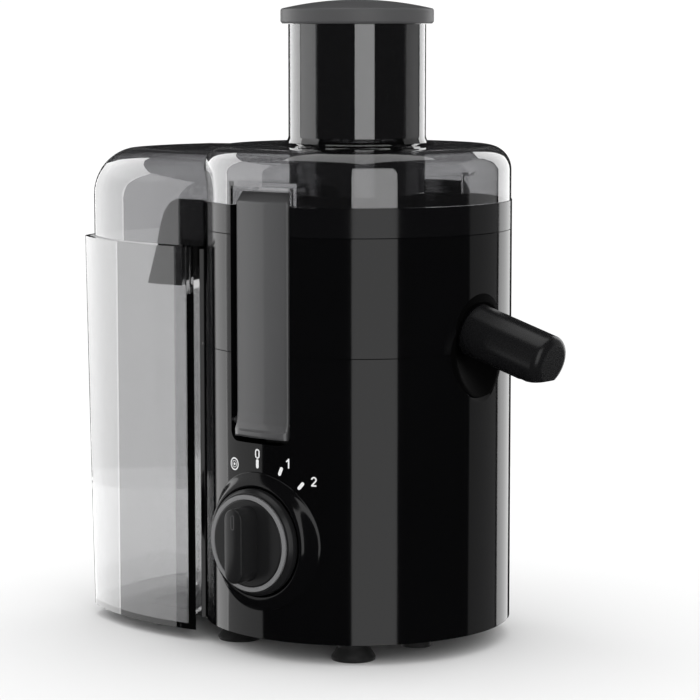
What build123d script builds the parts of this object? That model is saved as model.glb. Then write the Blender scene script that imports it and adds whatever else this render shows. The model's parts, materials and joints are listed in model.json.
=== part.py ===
from build123d import *
import math
import os

# Centrifugal juicer, in millimetres, +Z up, table at z = -FOOT_DROP.
# Everything is drawn about the motor's axis: the knob and the front clamp face -Y,
# the juice spout points to +X and the pulp bin stands at -X. When a node is saved it is
# shifted so that the origin is the middle of the whole juicer's footprint, on the table.

# --- driving dimensions: stack of covers ---
BODY_R = 89.0            # outside radius of housing, bowl and band
WALL = 3.0               # wall of the moulded covers
BASE_Z = 10.0            # underside of the housing
BOWL_Z = 169.6           # seam between housing and juice bowl
BAND_Z = 235.6           # seam between bowl and pulp guide
LID_Z = 252.0            # seam between pulp guide and lid
DECK_Z = 160.0           # top of the wet deck inside the housing
SEAM = 0.4               # depth of the shadow grooves at the seams

# --- driving dimensions: lid, feed tube and pusher ---
LID_R = 88.5
LID_TOP = 283.0
LID_ROUND = 14.0
LID_WALL = 2.5
LID_GAP = 0.2            # working gap under the lid
TUBE_R = 39.4
TUBE_BORE = 37.0
TUBE_LOW = 206.0
TUBE_TOP = 351.6
PUSHER_R = 36.5
PUSHER_LOW = 210.0
CAP_R = 43.8
CAP_H = 13.6
DOME_TOP = 279.0
DOME_STEP = 4.5          # dome stands this far inside the bin's rim
DOME_ROUND = 28.0

# --- driving dimensions: clamps, one in front and one behind ---
SLOT_HALF = 21.35        # half width of the recess that holds a clamp
SLOT_BACK = 72.0         # distance of the recess's back wall from the axis
SLOT_LOW = 120.0
SLOT_CORNER = 6.0        # rounding of the recess's lower corners
NOTCH_TOP = 262.5        # top of the lid's notch over the clamp's hook
NOTCH_BACK = 74.0
CLAMP_HALF = 19.2
CLAMP_FACE = 87.0
CLAMP_BACK = 78.0
CLAMP_LOW = 123.0
CLAMP_TOP = 259.5
LIP_REACH = 90.2         # the finger lip at the clamp's foot
PIVOT_D = 82.0           # clamp pin, distance from the axis
PIVOT_Z = 131.0
PIN_R = 2.0
PIN_FIT = 0.06

# --- driving dimensions: pulp bin ---
BIN_LOW = 5.0
BIN_RIM = 226.0
BIN_REACH = 178.0        # furthest point of the rim from the axis
BIN_REACH_LOW = 170.0    # the same at the bottom
BIN_SIDE_X = -80.0       # centre of the two long side arcs
BIN_SIDE_Y = 67.5
BIN_SIDE_R = 148.2
BIN_END_R = 130.0
BIN_CORNER = 14.0
BIN_BACK_R = 96.5        # hollow side that wraps round the housing
BIN_BACK_X = 56.0
BIN_WALL = 2.5
BIN_SILL = 198.0         # top of the lowered part of the hollow side

# --- driving dimensions: pulp guide ---
GUIDE_HOLE_R = 69.5
GUIDE_FLOOR = 3.0
CHUTE_HALF = 65.0
CHUTE_R = 103.0
CHUTE_WALL = 2.5
CHUTE_LOW = 202.0

# --- driving dimensions: spout ---
SPOUT_X, SPOUT_Z = 100.0, 177.4      # a point on the spout's axis
SPOUT_SLOPE = 16.5                   # degrees down from level
SPOUT_R = 15.0
SPOUT_BORE = 9.5
SPOUT_ROOT_R = 12.0
SPOUT_FIT = 0.08
SPOUT_TIP = 38.5                     # along the axis from that point
SPOUT_SHOULDER = -15.3
SPOUT_ROOT = -24.0
BOSS_R = 15.5
DISH_R = 27.0

# --- driving dimensions: knob ---
KNOB_Z = 65.0
BEZEL_R = 39.0
COLLAR_R = 30.0
TRIM_R = 27.15
GRIP_TIP = 110.4
GRIP_LENGTH, GRIP_WIDTH = 42.0, 12.7

# --- driving dimensions: sieve and motor ---
SIEVE_BASE_R = 48.0
SIEVE_RIM_R = 67.5
SIEVE_Z = 200.0
SIEVE_TOP = 240.5
SHAFT_R = 4.0
SHAFT_FIT = 0.05
MOTOR_BOLT = 30.0        # motor bolts stand at (+-30, +-30)
GLAND_Z = 30.0
GLAND_TIP = 95.0
FOOT_DROP = 1.6          # how far the feet reach below z = 0
FEET = [(42, -56), (42, 56), (-42, -56), (-42, 56)]
BASE_SCREWS = [(25, -70), (25, 70), (-25, -70), (-25, 70)]

spout_x_max = SPOUT_X + SPOUT_TIP * math.cos(math.radians(SPOUT_SLOPE)) \
    + SPOUT_R * math.sin(math.radians(SPOUT_SLOPE)) * 0.55
SHIFT = Pos((BIN_REACH - spout_x_max) / 2, (GRIP_TIP - GLAND_TIP) / 2, FOOT_DROP)


# --- small builders ---
def block(x0, x1, y0, y1, z0, z1):
    return Pos((x0 + x1) / 2, (y0 + y1) / 2, (z0 + z1) / 2) * Box(x1 - x0, y1 - y0, z1 - z0)


def drum(radius, z0, z1, x=0.0, y=0.0):
    return Pos(x, y, (z0 + z1) / 2) * Cylinder(radius, z1 - z0)


def ring(r_out, r_in, z0, z1, x=0.0, y=0.0):
    return drum(r_out, z0, z1, x, y) - drum(r_in, z0 - 1, z1 + 1, x, y)


def turned(*corners):
    """Solid of revolution about Z from (radius, height) corners."""
    outline = Polyline([(r, 0, z) for r, z in corners], close=True)
    return revolve(make_face(outline), Axis.Z)


def slab(corners, y0, y1):
    """Flat plate from (x, z) corners, between two y values."""
    outline = make_face(Polyline([(x, y0, z) for x, z in corners], close=True))
    return extrude(outline, y1 - y0, dir=(0, 1, 0))


def profile_bar(corners, half):
    """Bar across X from (distance in front of the axis, z) corners."""
    outline = make_face(Polyline([(-half, -d, z) for d, z in corners], close=True))
    return extrude(outline, 2 * half, dir=(1, 0, 0))


def rod_x(radius, x0, x1, y, z):
    return Pos((x0 + x1) / 2, y, z) * Rot(0, 90, 0) * Cylinder(radius, x1 - x0)


def front(shape, z=KNOB_Z):
    """Places a shape drawn about Z so that its +Z points out of the front."""
    return Plane(origin=(0, 0, z), x_dir=(1, 0, 0), z_dir=(0, -1, 0)).location * shape


def spouted(shape):
    """Places a shape drawn about Z on the spout's axis."""
    slope = math.radians(SPOUT_SLOPE)
    way = (math.cos(slope), 0, -math.sin(slope))
    return Plane(origin=(SPOUT_X, 0, SPOUT_Z), x_dir=(0, 1, 0), z_dir=way).location * shape


def mirrored(shape):
    """The shape and its copy behind the juicer."""
    return shape + mirror(shape, Plane.XZ)


def save(name, *solids):
    shape = solids[0] if len(solids) == 1 else Compound(list(solids))
    export_step(SHIFT * shape, f"parts/{name}.step")


# --- shared forms ---
def slots(grow, z0, z1, back=SLOT_BACK, corner=0.0):
    """Front and rear clamp recesses, grown by a wall thickness."""
    half = SLOT_HALF + grow
    recess = block(-half, half, -BODY_R - 5, grow - back, z0, z1)
    if corner:
        recess = fillet(recess.edges().filter_by(Axis.Y).group_by(Axis.Z)[0], corner + grow)
    return mirrored(recess)


def seam(z):
    """Ring that cuts a shadow groove round the drum."""
    return turned((BODY_R - SEAM, z), (BODY_R + 1, z - 2 * SEAM), (BODY_R + 1, z + 2 * SEAM))


def dish():
    """Shallow hollow round the spout in the side of housing and bowl."""
    return spouted(Pos(0, 0, -9) * Cone(16.0, DISH_R + 11, 18.0))


def rib(z0, z1):
    """Upright rib beside the bin, front and rear."""
    one = Rot(0, 0, 227) * block(BODY_R - 2, BODY_R + 2.2, -1.6, 1.6, z0, z1)
    return mirrored(one)


def bin_form(inset, z0, z1):
    """The bin's outer form, drawn in by inset, between two heights."""
    side_r = BIN_SIDE_R - inset
    plan = Pos(BIN_SIDE_X, BIN_SIDE_Y) * Circle(side_r) & Pos(BIN_SIDE_X, -BIN_SIDE_Y) * Circle(side_r)
    form = extrude(Pos(0, 0, z0) * plan, z1 - z0)
    draft = (BIN_REACH - BIN_REACH_LOW) / (BIN_RIM - BIN_LOW)
    low_r = BIN_END_R - inset - draft * (BIN_RIM - z0)
    high_r = BIN_END_R - inset - draft * (BIN_RIM - z1)
    end = Pos(BIN_END_R - BIN_REACH, 0, (z0 + z1) / 2) * Cone(low_r, high_r, z1 - z0)
    form = form & end
    uprights = form.edges().filter_by(lambda edge: edge.bounding_box().size.Z > 0.8 * (z1 - z0))
    form = fillet(uprights.sort_by(Axis.X)[:2], BIN_CORNER - inset)
    form -= drum(BIN_BACK_R + inset, z0 - 1, z1 + 1)
    return form - block(-BIN_BACK_X - inset, BODY_R, -BODY_R, BODY_R, z0 - 1, z1 + 1)


def dome_form(inset, z0):
    """The lid's dome over the bin, drawn in by inset, rounded at the top."""
    side_r = BIN_SIDE_R - DOME_STEP - inset
    plan = Pos(BIN_SIDE_X, BIN_SIDE_Y) * Circle(side_r) & Pos(BIN_SIDE_X, -BIN_SIDE_Y) * Circle(side_r)
    plan &= Pos(BIN_END_R - BIN_REACH, 0) * Circle(BIN_END_R - DOME_STEP - inset)
    form = extrude(Pos(0, 0, z0) * plan, DOME_TOP - inset - z0)
    uprights = form.edges().filter_by(Axis.Z).sort_by(Axis.X)
    form = fillet(uprights[:2], DOME_ROUND + 2 - inset)
    form = fillet(form.edges().group_by(Axis.Z)[-1], DOME_ROUND - inset)
    return form


# --- fixed covers ---
def motor_housing():
    shell = drum(BODY_R, BASE_Z, BOWL_Z) - slots(0, SLOT_LOW, BOWL_Z + 1, corner=SLOT_CORNER)
    inside = drum(BODY_R - WALL, BASE_Z - 1, DECK_Z - WALL) + drum(BODY_R - WALL, DECK_Z, BOWL_Z + 1)
    inside -= slots(WALL, SLOT_LOW - WALL, BOWL_Z + 2, corner=SLOT_CORNER)
    shell -= inside
    shell += block(79, 87, -28, 28, 140, BOWL_Z) & drum(BODY_R - 1, 140, BOWL_Z)
    shell += rib(BASE_Z, BOWL_Z)
    for x, y in BASE_SCREWS:
        away = math.degrees(math.atan2(y, x))
        shell += drum(5.0, BASE_Z + WALL, 30, x, y)
        shell += Rot(0, 0, away) * block(76, BODY_R - 1, -1.5, 1.5, BASE_Z + WALL, 30)
        shell -= drum(1.6, 9, 28, x, y)
    shell -= spouted(drum(BOSS_R + 0.5, SPOUT_ROOT - 6, 20))
    shell -= dish()
    shell -= front(drum(BEZEL_R + 0.1, 60, 100))
    shell -= drum(14.1, 150, DECK_Z + 1)
    shell -= Pos(0, 90, GLAND_Z) * Rot(90, 0, 0) * Cylinder(7.1, 20)
    shell -= front(drum(2.6, 60, 74), 148)
    for side in (-1, 1):
        shell -= rod_x(PIN_R + 0.05, -24, 24, side * PIVOT_D, PIVOT_Z)
    return shell - seam(BOWL_Z)


def base_plate():
    plate = drum(BODY_R - WALL - 0.2, BASE_Z, BASE_Z + WALL)
    plate += block(-84, -60, -38, 38, 2, BASE_Z + 1) & drum(BODY_R - WALL - 0.2, 0, 20)
    plate += block(-128, -60, -38, 38, 2, BIN_LOW - 0.3)
    for x, y in FEET:
        plate -= drum(4.0, 5, 20, x, y)
    for x, y in BASE_SCREWS:
        plate -= drum(2.2, 5, 20, x, y)
    for row in range(-4, 5):
        plate -= block(-22, 22, row * 8 - 1.5, row * 8 + 1.5, 5, 20)
    return plate


def feet():
    foot = turned((0, -FOOT_DROP), (12.2, -FOOT_DROP), (12.5, 0), (9.0, 5.5), (8.0, BASE_Z), (3.9, BASE_Z),
                  (3.9, 15), (0, 15))
    return [Pos(x, y, 0) * foot for x, y in FEET]


def support_pads():
    return [drum(8.5, 3, BASE_Z, 61, y) for y in (-23, 23)]


def base_screws():
    screw = turned((0, 7.6), (3.4, 7.6), (4.0, BASE_Z), (1.5, BASE_Z), (1.5, 27), (0, 27))
    return [Pos(x, y, 0) * screw for x, y in BASE_SCREWS]


def cord_gland():
    gland = turned((3.6, -6), (7.0, -6), (7.0, 0.2), (9.5, 0.2), (9.5, 2), (6.6, 6), (3.6, 6))
    out = Plane(origin=(0, GLAND_TIP - 6, GLAND_Z), x_dir=(-1, 0, 0), z_dir=(0, 1, 0))
    return out.location * gland


# --- knob and switches ---
def knob_bezel():
    plug = front(turned((3.3, 86), (3.3, 89), (30.8, 89), (30.8, 91), (32, 91), (BEZEL_R, 80.6),
                        (BEZEL_R, 76), (36, 76), (36, 79), (31, 86)))
    saddle = front(ring(BEZEL_R, 31, 70, 100)) & (drum(BODY_R + 1.2, 10, 120) - drum(86, 9, 121))
    return plug + (saddle & block(-BEZEL_R, BEZEL_R, -100, 0, 10, 120))


def knob_spindle():
    return front(drum(3.0, 66, 94))


def knob_collar():
    collar = turned((3.05, 89.6), (29.4, 89.6), (COLLAR_R, 90.4), (COLLAR_R, 93.6), (28.2, 96), (3.05, 96))
    return front(collar)


def knob_trim_ring():
    return front(ring(TRIM_R, 24.6, 96, 97.6))


def knob_grip():
    disc = drum(24.5, 96, 98.2)
    bar = extrude(Pos(0, 0, 98.2) * Rot(0, 0, 90) * SlotOverall(GRIP_LENGTH, GRIP_WIDTH), GRIP_TIP - 98.2)
    bar = fillet(bar.edges().group_by(Axis.Z)[-1], 2.2)
    pointer = block(-1.1, 1.1, 12.5, 18.5, GRIP_TIP - 0.8, GRIP_TIP + 1)
    return front(disc + bar - pointer)


def speed_switch():
    body = block(-14, 14, -74, -50, 51, 79) - front(drum(3.1, 64, 80))
    return body + block(-8, 8, -50, -46.5, 56, 74)


def interlock_switch():
    return block(-8, 8, -69, -58, 142, 154) - front(drum(2.5, 61, 70), 148)


def interlock_plunger():
    return front(drum(2.4, 64, 76.6) + drum(1.5, 76.6, 77.6), 148)


# --- bowl, guide and spout ---
def juice_collector():
    floor_z = BOWL_Z + 3.4
    shell = drum(BODY_R, BOWL_Z, BAND_Z) - slots(0, BOWL_Z - 1, BAND_Z + 1)
    shell -= drum(BODY_R - WALL, floor_z, BAND_Z + 1) - slots(WALL, BOWL_Z - 1, BAND_Z + 2)
    shell += block(78, 87, -30, 30, BOWL_Z, 206) & drum(BODY_R - 1, BOWL_Z, 206)
    skirt = ring(BODY_R - WALL - 0.4, 83.2, 164, BOWL_Z) - slots(WALL + 0.6, 160, 175)
    shell += skirt - block(50, 90, -34, 34, 160, 175)
    shell += drum(19, BOWL_Z, 192) + rib(BOWL_Z, BIN_RIM - 2)
    shell -= drum(16.5, 160, 195)
    shell -= dish() + seam(BOWL_Z) + seam(BAND_Z)
    shell += spouted(drum(BOSS_R, SPOUT_ROOT, SPOUT_SHOULDER - 0.3))
    return shell - spouted(drum(SPOUT_ROOT_R + SPOUT_FIT, SPOUT_ROOT - 8, 0))


def pulp_guide():
    body = drum(BODY_R, BAND_Z, LID_Z) - slots(0, BAND_Z - 1, LID_Z + 1)
    inside = drum(BODY_R - WALL, BAND_Z + GUIDE_FLOOR, LID_Z + 1) - slots(WALL - 0.5, BAND_Z - 1, LID_Z + 2)
    body -= inside
    body -= drum(GUIDE_HOLE_R, BAND_Z - 1, LID_Z + 1) + seam(BAND_Z)
    inner = CHUTE_HALF - CHUTE_WALL
    body -= block(-BODY_R - 1, -30, -inner, inner, BAND_Z + GUIDE_FLOOR, LID_Z + 1)
    lane = block(-CHUTE_R - 1, -30, -CHUTE_HALF, CHUTE_HALF, CHUTE_LOW, LID_Z)
    body += ring(CHUTE_R, BODY_R - 1, BAND_Z, BAND_Z + GUIDE_FLOOR) & lane
    body += ring(CHUTE_R, CHUTE_R - CHUTE_WALL, CHUTE_LOW, BAND_Z + GUIDE_FLOOR) & lane
    sweep = [(-58, LID_Z), (-80, LID_Z), (-85.5, 249.5), (-90, 244), (-93, 236), (-96, 224),
             (-CHUTE_R, CHUTE_LOW), (-70, CHUTE_LOW), (-58, 229)]
    cheek = slab(sweep, -CHUTE_HALF, -inner)
    cheek -= drum(CHUTE_R - CHUTE_WALL, CHUTE_LOW - 1, 229) + drum(BODY_R + 0.4, CHUTE_LOW - 1, BAND_Z)
    return body + mirrored(cheek)


def spout():
    body = turned((0, SPOUT_ROOT), (SPOUT_ROOT_R, SPOUT_ROOT), (SPOUT_ROOT_R, SPOUT_SHOULDER),
                  (SPOUT_R, SPOUT_SHOULDER), (SPOUT_R, SPOUT_TIP), (0, SPOUT_TIP))
    body = fillet(body.edges().group_by(Axis.Z)[-1], 5.0)
    body -= drum(SPOUT_BORE, SPOUT_ROOT - 1, SPOUT_TIP - 6)
    body = spouted(body)
    body -= block(90, 160, -20, 20, 130, 156.8)
    return body - block(117, 130, -8, 8, 150, 168)


# --- lid, pusher, clamps, bin ---
def lid():
    outer = fillet(drum(LID_R, LID_Z + LID_GAP, LID_TOP).edges().group_by(Axis.Z)[-1], LID_ROUND)
    ceiling = LID_TOP - LID_WALL
    inner = drum(LID_R - LID_WALL, LID_Z - 1, ceiling)
    inner = fillet(inner.edges().group_by(Axis.Z)[-1], LID_ROUND - LID_WALL)
    outer -= slots(0, LID_Z - 1, NOTCH_TOP, NOTCH_BACK)
    inner -= slots(LID_WALL, LID_Z - 2, NOTCH_TOP + LID_WALL, NOTCH_BACK)
    clear = drum(BODY_R + 0.5, BIN_RIM - 1, LID_Z + LID_GAP)
    clear += block(-52, 100, -90, 90, BIN_RIM - 1, LID_Z + LID_GAP)
    dome_low = BIN_RIM + 0.5
    outer += dome_form(0, dome_low) - clear
    inner += dome_form(LID_WALL, dome_low - 1)
    body = outer - inner
    flare = turned((TUBE_R - 1, ceiling), (TUBE_R + 4, ceiling), (TUBE_R + 4, LID_TOP),
                   (TUBE_R + 1.2, LID_TOP + 1.4), (TUBE_R, LID_TOP + 4.5), (TUBE_R - 1, LID_TOP + 4.5))
    body += drum(TUBE_R, TUBE_LOW, TUBE_TOP) + flare
    body -= drum(TUBE_BORE, TUBE_LOW - 1, TUBE_TOP + 1)
    ledge = [(73.5, LID_Z + LID_GAP), (77.4, LID_Z + LID_GAP), (77.4, 253.0), (74.6, 255.8), (73.5, 255.8)]
    return body + mirrored(profile_bar(ledge, 15))


def clamp():
    face = turned((0, CLAMP_LOW), (88.0, CLAMP_LOW), (LIP_REACH - 0.5, 123.8), (LIP_REACH, 124.8),
                  (LIP_REACH, 126.2), (88.6, 127.6), (87.5, 130.6), (CLAMP_FACE, 135), (CLAMP_FACE, 254),
                  (81.5, CLAMP_TOP), (0, CLAMP_TOP))
    back = [(LIP_REACH + 5, CLAMP_LOW), (LIP_REACH + 5, CLAMP_TOP), (75, CLAMP_TOP), (75, 255.85),
            (CLAMP_BACK, 252.85), (CLAMP_BACK, 125), (80, CLAMP_LOW)]
    bar = profile_bar(back, CLAMP_HALF) & face
    uprights = bar.edges().filter_by(lambda edge: edge.bounding_box().size.Z > 100).group_by(Axis.Y)[0]
    bar = fillet(uprights, 1.2)
    return bar - rod_x(PIN_R + PIN_FIT, -20, 20, -PIVOT_D, PIVOT_Z)


def pusher_body():
    return drum(PUSHER_R, PUSHER_LOW, TUBE_TOP + 0.3) - drum(PUSHER_R - 2, PUSHER_LOW + 2.5, TUBE_TOP + 1)


def pusher_cap():
    low, high = TUBE_TOP + 0.3, TUBE_TOP + 0.3 + CAP_H
    return turned((0, low), (CAP_R - 0.8, low), (CAP_R, low + 0.8), (CAP_R, low + 7.6),
                  (CAP_R - 0.6, low + 8.6), (CAP_R - 8, low + 10.8), (CAP_R - 20, low + 12.7),
                  (CAP_R - 33, low + 13.4), (0, high))


def pulp_bin():
    shell = bin_form(0, BIN_LOW, BIN_RIM)
    shell -= bin_form(BIN_WALL, BIN_LOW + WALL, BIN_RIM + 1)
    return shell - block(-112, -60, -CHUTE_HALF - 1, CHUTE_HALF + 1, BIN_SILL, BIN_RIM + 1)


# --- sieve basket and rotor ---
def sieve_parts():
    hub = drum(50, 197, SIEVE_Z) + ring(23.5, 21, 185, 197) + drum(11, 195.9, 197)
    grater = drum(SIEVE_BASE_R - 0.5, SIEVE_Z, SIEVE_Z + 1.2)
    for turn in range(6):
        grater += Rot(0, 0, turn * 60) * block(9, 40, -0.8, 0.8, SIEVE_Z + 1, SIEVE_Z + 3)
    top = SIEVE_TOP - 4
    mesh = turned((SIEVE_BASE_R, SIEVE_Z), (SIEVE_BASE_R + 0.9, SIEVE_Z), (66.6, top), (65.7, top))
    rim = ring(SIEVE_RIM_R, SIEVE_RIM_R - 3, top, SIEVE_TOP)
    return hub, grater, mesh, rim


def drive_coupling():
    body = drum(11, 154, 190) - drum(SHAFT_R + SHAFT_FIT, 150, 187)
    for turn in range(3):
        body += Rot(0, 0, turn * 120) * block(3, 9.5, -2, 2, 190, 195.9)
    return body


def motor_shaft():
    return drum(SHAFT_R, 20, 186)


def armature_core():
    core = ring(19.9, SHAFT_R + SHAFT_FIT, 90, 121)
    for turn in range(12):
        core -= Rot(0, 0, turn * 30) * block(12, 25, -1.3, 1.3, 89, 122)
    return core


def armature_windings():
    low = turned((4.2, 79), (12, 79), (16, 82), (16, 90), (4.2, 90))
    high = turned((4.2, 121), (16, 121), (16, 129), (12, 132), (4.2, 132))
    return low, high


def commutator():
    return ring(10, SHAFT_R + SHAFT_FIT, 62, 76) + ring(12, SHAFT_R + SHAFT_FIT, 76, 78.5)


def cooling_fan():
    fan = ring(34, 8, 34, 36) + ring(8.5, SHAFT_R + SHAFT_FIT, 34, 48)
    for turn in range(8):
        fan += Rot(0, 0, turn * 45) * block(12, 33, -0.9, 0.9, 36, 48)
    return fan


# --- fixed motor parts ---
def at_bolts(shape):
    return [Pos(x, y, 0) * shape for x in (-MOTOR_BOLT, MOTOR_BOLT) for y in (-MOTOR_BOLT, MOTOR_BOLT)]


def stator_core():
    core = block(-36, 36, -36, 36, 88, 123)
    core = fillet(core.edges().filter_by(Axis.Z), 6)
    core -= drum(20.4, 80, 130)
    windows = ring(30.3, 20.3, 80, 130) - block(-40, 40, -11.5, 11.5, 80, 130) - block(-9, 9, -40, 40, 80, 130)
    core -= windows
    for hole in at_bolts(drum(2.1, 80, 130)):
        core -= hole
    return core


def field_windings():
    coil = ring(29.8, 22.8, 77, 134) & block(9.5, 35, -35, 35, 77, 134)
    coil -= block(9, 36, -12, 12, 87.5, 123.5)
    return coil, mirror(coil, Plane.YZ)


def lower_bracket():
    body = drum(46, 28, 31) + drum(14, 22, 28)
    for leg in at_bolts(drum(4, 30, 88)):
        body += leg
    for hole in at_bolts(drum(2.1, 20, 90)):
        body -= hole
    for turn in range(4):
        body -= Rot(0, 0, turn * 90) * block(18, 36, -9, 9, 27, 32)
    body -= drum(11, 21, 28)
    return body - drum(5.5, 20, 32)


def upper_bracket():
    body = drum(46, 140, 143) + ring(13.5, 11, 142, 151) - drum(5.5, 139, 144)
    for post in at_bolts(drum(4, 123, 141)):
        body += post
    for hole in at_bolts(drum(2.1, 120, 145)):
        body -= hole
    for turn in range(4):
        body -= Rot(0, 0, 45 + turn * 90) * block(18, 33, -7, 7, 139, 144)
    return body


def bearing(z0, z1):
    return ring(10.9, SHAFT_R + SHAFT_FIT, z0, z1)


def motor_bolts():
    bolt = turned((0, 24.5), (3.4, 24.5), (3.4, 28), (1.9, 28), (1.9, 143), (3.4, 143), (3.4, 146), (0, 146))
    return at_bolts(bolt)


def motor_dampers():
    return [drum(5, 143, DECK_Z - WALL, x, y) for x, y in ((39, 0), (-39, 0), (0, 39), (0, -39))]


def brush_carrier():
    plate = ring(46, 16, 59.8, 62.8)
    for hole in at_bolts(drum(4.2, 50, 70)):
        plate -= hole
    return plate


def both_sides(shape):
    return shape, mirror(shape, Plane.YZ)


def brush_holder():
    return block(14, 35, -5, 5, 62.8, 73) - block(13, 33.5, -3.2, 3.2, 64.8, 71.2)


def brush():
    return block(10.4, 23, -3, 3, 65, 71)


def brush_spring():
    return rod_x(2.6, 23, 33.5, 0, 68) - rod_x(1.7, 22, 35, 0, 68)


def shaft_seal():
    return turned((11.4, 157), (14, 157), (14, DECK_Z), (15.4, DECK_Z), (15.4, DECK_Z + 1.5),
                  (13, DECK_Z + 3), (11.4, DECK_Z + 3))


def clamp_pins():
    return [rod_x(PIN_R, -24, 24, side * PIVOT_D, PIVOT_Z) for side in (-1, 1)]


os.makedirs("parts", exist_ok=True)
save("motor_housing", motor_housing())
save("base_plate", base_plate())
save("feet", *feet())
save("support_pads", *support_pads())
save("base_screws", *base_screws())
save("cord_gland", cord_gland())
save("knob_bezel", knob_bezel())
save("knob_spindle", knob_spindle())
save("knob_collar", knob_collar())
save("knob_trim_ring", knob_trim_ring())
save("knob_grip", knob_grip())
save("speed_switch", speed_switch())
save("interlock_switch", interlock_switch())
save("interlock_plunger", interlock_plunger())
save("juice_collector", juice_collector())
save("pulp_guide", pulp_guide())
save("spout", spout())
save("lid", lid())
save("front_clamp", clamp())
save("rear_clamp", mirror(clamp(), Plane.XZ))
save("clamp_pins", *clamp_pins())
save("pusher_body", pusher_body())
save("pusher_cap", pusher_cap())
save("pulp_bin", pulp_bin())
sieve_hub, grater_disc, sieve_mesh, sieve_rim = sieve_parts()
save("sieve_hub", sieve_hub)
save("grater_disc", grater_disc)
save("sieve_mesh", sieve_mesh)
save("sieve_rim", sieve_rim)
save("drive_coupling", drive_coupling())
save("motor_shaft", motor_shaft())
save("armature_core", armature_core())
save("armature_windings", *armature_windings())
save("commutator", commutator())
save("cooling_fan", cooling_fan())
save("stator_core", stator_core())
save("field_windings", *field_windings())
save("lower_bracket", lower_bracket())
save("upper_bracket", upper_bracket())
save("lower_bearing", bearing(22, 28))
save("upper_bearing", bearing(143, 150))
save("motor_bolts", *motor_bolts())
save("motor_dampers", *motor_dampers())
save("brush_carrier", brush_carrier())
save("brush_holders", *both_sides(brush_holder()))
save("carbon_brushes", *both_sides(brush()))
save("brush_springs", *both_sides(brush_spring()))
save("shaft_seal", shaft_seal())
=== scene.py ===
import json
import math

import bmesh
import bpy
from bpy.props import FloatProperty, FloatVectorProperty, PointerProperty
from mathutils import Matrix, Vector


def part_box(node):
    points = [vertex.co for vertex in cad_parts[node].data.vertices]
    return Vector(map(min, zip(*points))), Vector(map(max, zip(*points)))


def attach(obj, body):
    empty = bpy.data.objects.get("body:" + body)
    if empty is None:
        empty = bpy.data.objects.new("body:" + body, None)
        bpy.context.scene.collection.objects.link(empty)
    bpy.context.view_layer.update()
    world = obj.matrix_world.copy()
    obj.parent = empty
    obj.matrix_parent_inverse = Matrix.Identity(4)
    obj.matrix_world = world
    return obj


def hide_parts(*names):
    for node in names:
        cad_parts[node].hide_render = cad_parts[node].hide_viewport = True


bl_info = {
    "name": "Centrifugal Juicer",
    "version": (1, 0, 0),
    "blender": (4, 5, 0),
    "location": "View3D > Sidebar > Juicer",
    "description": "Finishes, moulded details and a plain studio for a centrifugal juicer",
    "category": "Object",
}

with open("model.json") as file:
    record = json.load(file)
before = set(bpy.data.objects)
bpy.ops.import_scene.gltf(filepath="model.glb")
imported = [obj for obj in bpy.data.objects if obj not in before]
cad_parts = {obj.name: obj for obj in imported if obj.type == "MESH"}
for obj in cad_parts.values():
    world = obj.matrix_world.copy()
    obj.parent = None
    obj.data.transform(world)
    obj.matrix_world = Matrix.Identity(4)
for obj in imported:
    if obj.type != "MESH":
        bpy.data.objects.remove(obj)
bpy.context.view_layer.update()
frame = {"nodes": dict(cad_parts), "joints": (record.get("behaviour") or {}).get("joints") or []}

MM = 0.001
HOLES_ROUND = 180        # holes in one row of the sieve
HOLE_ROWS = 520          # rows of sieve holes in a metre of height
HOLE_SHARE = 0.27        # radius of a sieve hole, as a share of its spacing
PRINT_THICK = 0.16 * MM  # thickness of the dial's print
PRINT_SUNK = 0.06 * MM   # how deep the print lies in the drum
TURN_STEPS = 144         # facets round a turned piece
DEGENERATE = 1e-7        # distance at which two points of a mesh count as one

# Places that everything else is measured from, all read from the frame.
shaft_low, shaft_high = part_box("motor_shaft")
AXIS = Vector(((shaft_low.x + shaft_high.x) / 2, (shaft_low.y + shaft_high.y) / 2, 0))
housing_low, housing_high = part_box("motor_housing")
DRUM_R = (housing_high.x - housing_low.x) / 2
bezel_low, bezel_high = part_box("knob_bezel")
BEZEL_R = (bezel_high.x - bezel_low.x) / 2
KNOB_Z = (bezel_low.z + bezel_high.z) / 2

# Angles round the knob, clockwise from straight up.
SPEED_TURNS = (0, 21, 40)
PULSE_TURN = -24
DIGITS = (("0", 0, 5.6), ("1", 24.2, 6.2), ("2", 44.5, 7.2))     # text, turn, mm beyond the bars


# ---------------------------------------------------------------------------
# Settings
# ---------------------------------------------------------------------------

class JuicerColours(bpy.types.PropertyGroup):
    """Colours of the mouldings and metals."""
    body: FloatVectorProperty(name="Body", description="Glossy drum plastic", subtype="COLOR",
                              size=3, min=0, max=1, default=(0.0016, 0.0016, 0.0018))
    clamp: FloatVectorProperty(name="Clamp", description="Grey satin clamps", subtype="COLOR",
                               size=3, min=0, max=1, default=(0.06, 0.06, 0.062))
    cap: FloatVectorProperty(name="Pusher cap", description="Grey pusher cap", subtype="COLOR",
                             size=3, min=0, max=1, default=(0.066, 0.066, 0.068))
    spout: FloatVectorProperty(name="Spout", description="Matt spout plastic", subtype="COLOR",
                               size=3, min=0, max=1, default=(0.006, 0.006, 0.0065))
    trim: FloatVectorProperty(name="Knob ring", description="Silver paint on the knob's ring",
                              subtype="COLOR", size=3, min=0, max=1, default=(0.17, 0.17, 0.173))
    lid: FloatVectorProperty(name="Lid", description="Smoked clear lid", subtype="COLOR",
                             size=3, min=0, max=1, default=(0.56, 0.56, 0.57))
    bin: FloatVectorProperty(name="Bin", description="Lightly smoked clear bin", subtype="COLOR",
                             size=3, min=0, max=1, default=(0.68, 0.68, 0.685))
    marks: FloatVectorProperty(name="Dial marks", description="Printed dial marks", subtype="COLOR",
                               size=3, min=0, max=1, default=(0.75, 0.75, 0.75))


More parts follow.
